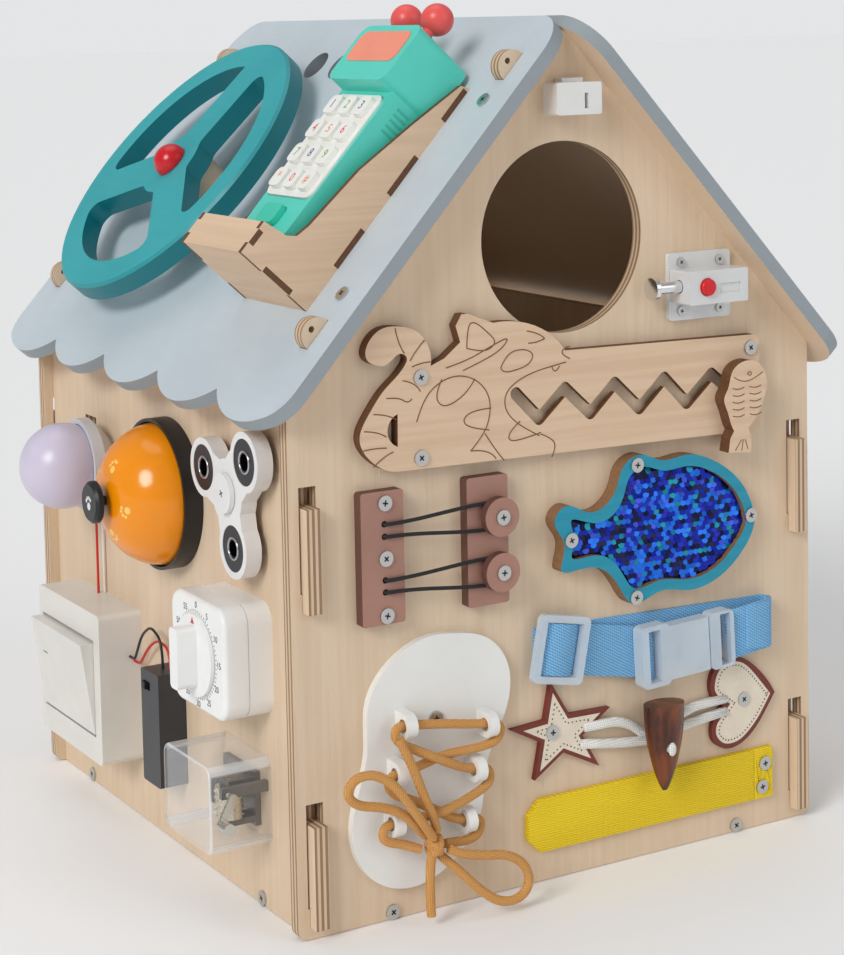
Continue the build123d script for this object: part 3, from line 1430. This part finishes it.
# Steering wheel on the left roof: three spokes, a turned post with a bolt, a red cap
wheel_radius = 84.0
wheel_rim = 17.0
wheel_hub_radius = 20.5
wheel_spoke_width = 24.0
wheel_spoke_angle = 50.0
wheel_inner_corner = 6.0
wheel_edge = 1.5
wheel_thick = 11.0
wheel_front = 25.0
wheel_post_radius = 15.5
wheel_cap_radius = 9.5
wheel_nut_radius = 7.0
wheel_nut_thick = 5.0
wheel_back = wheel_front - wheel_thick
with BuildPart() as steering_wheel:
    with BuildSketch(at(left_roof_top, *wheel_place, wheel_back)):
        Circle(wheel_radius)
        Circle(wheel_radius - wheel_rim, mode=Mode.SUBTRACT)
        Circle(wheel_hub_radius)
        with PolarLocations((wheel_radius - wheel_rim / 2) / 2, 3, start_angle=wheel_spoke_angle):
            Rectangle(wheel_radius - wheel_rim / 2, wheel_spoke_width)
        fillet([v for v in vertices() if abs(v.Y) > overrun], wheel_inner_corner)
        Circle(wheel_bolt_radius + pivot_gap, mode=Mode.SUBTRACT)
    extrude(amount=wheel_thick)
    roof_normal = Axis(left_roof_top.origin, left_roof_top.z_dir)
    front_of_wheel = steering_wheel.faces().filter_by(left_roof_top).sort_by(roof_normal)[-1]
    chamfer(front_of_wheel.outer_wire().edges(), wheel_edge)
finish(steering_wheel, "steering_wheel")

with BuildPart() as wheel_post:
    with BuildSketch(at(left_roof_top, *wheel_place)):
        Circle(wheel_post_radius)
    extrude(amount=wheel_back - running_gap)
    with BuildSketch(at(left_roof_top, *wheel_place, -roof_ply - wheel_nut_thick)):
        Circle(wheel_bolt_radius)
    extrude(amount=roof_ply + wheel_nut_thick + wheel_front + running_gap)
    with BuildSketch(at(left_roof_top, *wheel_place, -roof_ply)):
        RegularPolygon(wheel_nut_radius, 6)
    extrude(amount=-wheel_nut_thick)
finish(wheel_post, "wheel_post")

with BuildPart() as wheel_cap:
    cap_plane = at(left_roof_top, *wheel_place, wheel_front + running_gap)
    with BuildSketch(Plane(origin=cap_plane.origin, x_dir=cap_plane.x_dir, z_dir=-cap_plane.y_dir)):
        with BuildLine():
            ThreePointArc(
                (wheel_cap_radius, 0),
                (wheel_cap_radius * cos(radians(45)), wheel_cap_radius * sin(radians(45))),
                (0, wheel_cap_radius),
            )
            Polyline((0, wheel_cap_radius), (0, 0), (wheel_cap_radius, 0))
        make_face()
    revolve(axis=Axis(cap_plane.origin, cap_plane.z_dir))
finish(wheel_cap, "wheel_cap")

# Telephone cradle of thin boards with finger joints
cradle_centre = 97.5
cradle_width = 65.0
cradle_board = 3.0
cradle_profile = [(54.0, 0.0), (56.0, 4.7), (87.0, 13.0), (121.0, 21.0), (157.0, 24.7), (164.5, 26.6),
                  (167.8, 31.0), (168.8, 37.0), (169.9, 44.0), (187.7, 44.0), (187.7, 0.0)]
cradle_end = 187.7
cradle_height = 44.0
cradle_base_start = 56.0
cradle_base_fingers = [(56.0, 75.0), (97.0, 120.0), (141.0, 163.0)]
cradle_end_finger = (12.0, 30.0)
cradle_lip_start = 170.0
cradle_lip_finger = (174.0, 182.0)
cradle_inner = cradle_width - 2 * cradle_board


def cradle_boards(width):
    "The base, end, lip and stop boards, at the width between the sides or across their fingers."
    return [
        (cradle_base_start, cradle_end - cradle_board, 0, cradle_board),
        (cradle_end - cradle_board, cradle_end, 0, cradle_height),
        (cradle_lip_start, cradle_end - cradle_board, cradle_height - cradle_board, cradle_height),
        (cradle_lip_start, cradle_lip_start + cradle_board, cradle_board, cradle_height - cradle_board),
    ]


cradle_fingers = [(start, end, 0, cradle_board) for start, end in cradle_base_fingers] + [
    (cradle_end - cradle_board, cradle_end, *cradle_end_finger),
    (*cradle_lip_finger, cradle_height - cradle_board, cradle_height),
]


def roof_block(start, end, low, high, width, mode=Mode.ADD):
    "A block over the cradle's centre line, between two reaches and two heights."
    place = at(left_roof_top, (start + end) / 2, cradle_centre, (low + high) / 2)
    with Locations(place):
        Box(end - start, width, high - low, mode=mode)


with BuildPart() as cradle_sides:
    for side in (0, 1):
        edge = cradle_centre - cradle_width / 2 + side * (cradle_width - cradle_board)
        corner = at(left_roof_top, 0, edge + cradle_board)
        with BuildSketch(Plane(origin=corner.origin, x_dir=corner.x_dir, z_dir=-corner.y_dir)):
            with BuildLine():
                Polyline(*cradle_profile, close=True)
            make_face()
        extrude(amount=cradle_board)
    for finger in cradle_fingers:
        roof_block(*finger, cradle_width, mode=Mode.SUBTRACT)
finish(cradle_sides, "cradle_sides")

with BuildPart() as cradle_box:
    for board in cradle_boards(cradle_inner):
        roof_block(*board, cradle_inner)
    for finger in cradle_fingers:
        roof_block(*finger, cradle_width)
finish(cradle_box, "cradle_box")

# Toy telephone that lies in the cradle
phone_top = 46.0
phone_end = 169.0
phone_neck = 80.0
phone_head_width = 56.0
phone_body_width = 50.0
phone_end_width = 46.0
phone_corner = 6.0
phone_floor = cradle_board + running_gap
phone_seam = 21.0
phone_face = 28.0
phone_head_face = 37.0
keypad_range = (83.0, 145.0)
keypad_width = 45.0
keypad_corner = 5.0
keypad_low = 27.4
keypad_plate = 1.6
keypad_travel = 1.0
key_rows = 4
key_columns = 3
key_size = (11.0, 10.5)
key_spacing = (15.0, 14.2)
key_height = 3.0
key_corner = 3.0
music_key_place = 156.5
music_key_size = (11.0, 17.0)
music_key_height = 3.0
music_key_depth = 4.0
screen_range = (50.0, 68.5)
screen_width = 47.0
screen_thick = 0.8
antenna_radius = 8.0
antenna_reach = 34.0
antenna_height = 27.0
antenna_spread = 29.0
antenna_neck_radius = 3.0
phone_head_points = [
    (phone_top, -phone_head_width / 2),
    (phone_neck, -phone_head_width / 2),
    (phone_neck, phone_head_width / 2),
    (phone_top, phone_head_width / 2),
]
phone_body_points = [
    (phone_neck - phone_corner, -phone_body_width / 2),
    (phone_end, -phone_end_width / 2),
    (phone_end, phone_end_width / 2),
    (phone_neck - phone_corner, phone_body_width / 2),
]


def phone_block(points, low, high, corner):
    "A rounded block of the telephone between two heights above the roof."
    with BuildSketch(at(left_roof_top, 0, cradle_centre, low)) as outline:
        with BuildLine():
            Polyline(*points, close=True)
        make_face()
        fillet(outline.vertices(), corner)
    extrude(outline.sketch, amount=high - low)


with BuildPart() as phone_back_shell:
    phone_block(phone_head_points, phone_floor, phone_seam, phone_corner)
    phone_block(phone_body_points, phone_floor, phone_seam, phone_corner)
finish(phone_back_shell, "phone_back_shell")

keypad_middle = (keypad_range[0] + keypad_range[1]) / 2
screen_middle = (screen_range[0] + screen_range[1]) / 2
with BuildPart() as phone_front_shell:
    phone_block(phone_head_points, phone_seam, phone_head_face, phone_corner)
    phone_block(phone_body_points, phone_seam, phone_face, phone_corner)
    keypad_floor = keypad_low - keypad_travel - running_gap
    with BuildSketch(at(left_roof_top, keypad_middle, cradle_centre, keypad_floor)):
        RectangleRounded(
            keypad_range[1] - keypad_range[0] + 2 * running_gap,
            keypad_width + 2 * running_gap,
            keypad_corner,
        )
    extrude(amount=phone_head_face - keypad_floor, mode=Mode.SUBTRACT)
    with BuildSketch(at(left_roof_top, music_key_place, cradle_centre, phone_face)):
        RectangleRounded(
            music_key_size[0] + 2 * running_gap,
            music_key_size[1] + 2 * running_gap,
            key_corner,
        )
    extrude(amount=-music_key_depth, mode=Mode.SUBTRACT)
    with BuildSketch(at(left_roof_top, screen_middle, cradle_centre, phone_head_face)):
        RectangleRounded(screen_range[1] - screen_range[0], screen_width, keypad_corner)
    extrude(amount=-screen_thick / 2, mode=Mode.SUBTRACT)
finish(phone_front_shell, "phone_front_shell")

with BuildPart() as phone_screen:
    with BuildSketch(at(left_roof_top, screen_middle, cradle_centre, phone_head_face - screen_thick / 2)):
        RectangleRounded(screen_range[1] - screen_range[0], screen_width, keypad_corner)
    extrude(amount=screen_thick)
finish(phone_screen, "phone_screen")

with BuildPart() as phone_keypad:
    with BuildSketch(at(left_roof_top, keypad_middle, cradle_centre, keypad_low)):
        RectangleRounded(keypad_range[1] - keypad_range[0], keypad_width, keypad_corner)
    extrude(amount=keypad_plate)
    with BuildSketch(at(left_roof_top, keypad_middle, cradle_centre, keypad_low + keypad_plate)):
        with GridLocations(*key_spacing, key_rows, key_columns):
            RectangleRounded(*key_size, key_corner)
    extrude(amount=key_height)
finish(phone_keypad, "phone_keypad")

with BuildPart() as phone_music_key:
    key_floor = phone_face - music_key_depth + keypad_travel + running_gap
    with BuildSketch(at(left_roof_top, music_key_place, cradle_centre, key_floor)):
        RectangleRounded(*music_key_size, key_corner)
    extrude(amount=phone_face + music_key_height - key_floor)
finish(phone_music_key, "phone_music_key")

with BuildPart() as phone_antennae:
    for side in (-1, 1):
        ball_place = at(left_roof_top, antenna_reach, cradle_centre + side * antenna_spread / 2,
                        antenna_height)
        with Locations(Plane(origin=ball_place.origin, z_dir=left_roof_top.x_dir)):
            Sphere(antenna_radius)
            Cylinder(
                antenna_neck_radius,
                phone_top - antenna_reach,
                align=(Align.CENTER, Align.CENTER, Align.MIN),
            )
finish(phone_antennae, "phone_antennae")

# Screws: front boards, floor edges, roof over the gables
small_head_radius = 2.4
board_screws = [
    (at(front_face, x, z, head), head + ply - face_gap, screw_head_radius)
    for x, z, head in front_screws
    if head != latch_plate_thick
]
plate_screws = [
    (at(front_face, x, z, latch_plate_thick), latch_plate_thick + ply - face_gap, small_head_radius)
    for x, z in latch_screws
]
edge_length = ply + screw_length - overrun
floor_screws = [
    (at(plane, place, ply / 2), edge_length, screw_head_radius)
    for plane, places in (
        (front_face, floor_screw_places),
        (back_face, floor_screw_places),
        (left_face, wall_screw_places),
        (right_face, wall_screw_places),
    )
    for place in places
]
roof_screws = [
    (at(plane, reach, end * (half_depth - ply / 2)), roof_screw_length, screw_head_radius)
    for plane in (left_roof_top, right_roof_top)
    for reach in roof_screw_reaches
    for end in (-1, 1)
]
with BuildPart() as wood_screws:
    for seat, length, head_radius in board_screws + plate_screws + floor_screws + roof_screws:
        with Locations(seat):
            Cylinder(head_radius, screw_head_height, align=(Align.CENTER, Align.CENTER, Align.MIN))
            Cylinder(screw_shank_radius, length, align=(Align.CENTER, Align.CENTER, Align.MAX))
finish(wood_screws, "wood_screws")
